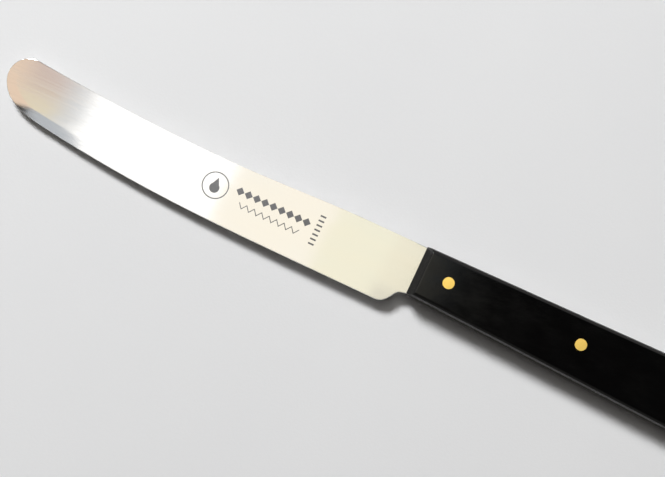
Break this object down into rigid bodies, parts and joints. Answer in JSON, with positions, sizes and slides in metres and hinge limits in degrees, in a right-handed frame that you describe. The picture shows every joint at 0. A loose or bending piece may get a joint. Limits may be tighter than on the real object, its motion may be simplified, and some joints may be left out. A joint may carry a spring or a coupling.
{
  "type": "ink knife",
  "caption": "Flat round-nosed steel ink knife with a full tang between two riveted plastic scales, for mixing, spreading and scraping printing ink.",
  "frame": {"origin": "middle of the footprint, on the flat face of the lower scale that the knife lies on", "axes": "+X along the knife from the nose to the butt, +Y across the blade from the cutting edge to the back, +Z through the thickness, from the lower scale to the upper one"},
  "size_m": [0.2154, 0.0195, 0.0096],
  "materials": {
    "steel": "stainless steel, polished lengthwise to a near mirror",
    "black_plastic": "black moulded plastic, ground flush and buffed",
    "brass": "solid brass pin ends, ground flush"
  },
  "bodies": {
    "root": {"blade": "steel", "upper_scale": "black_plastic", "lower_scale": "black_plastic", "rivet_front": "brass", "rivet_middle": "brass", "rivet_rear": "brass"}
  },
  "joints": []
}
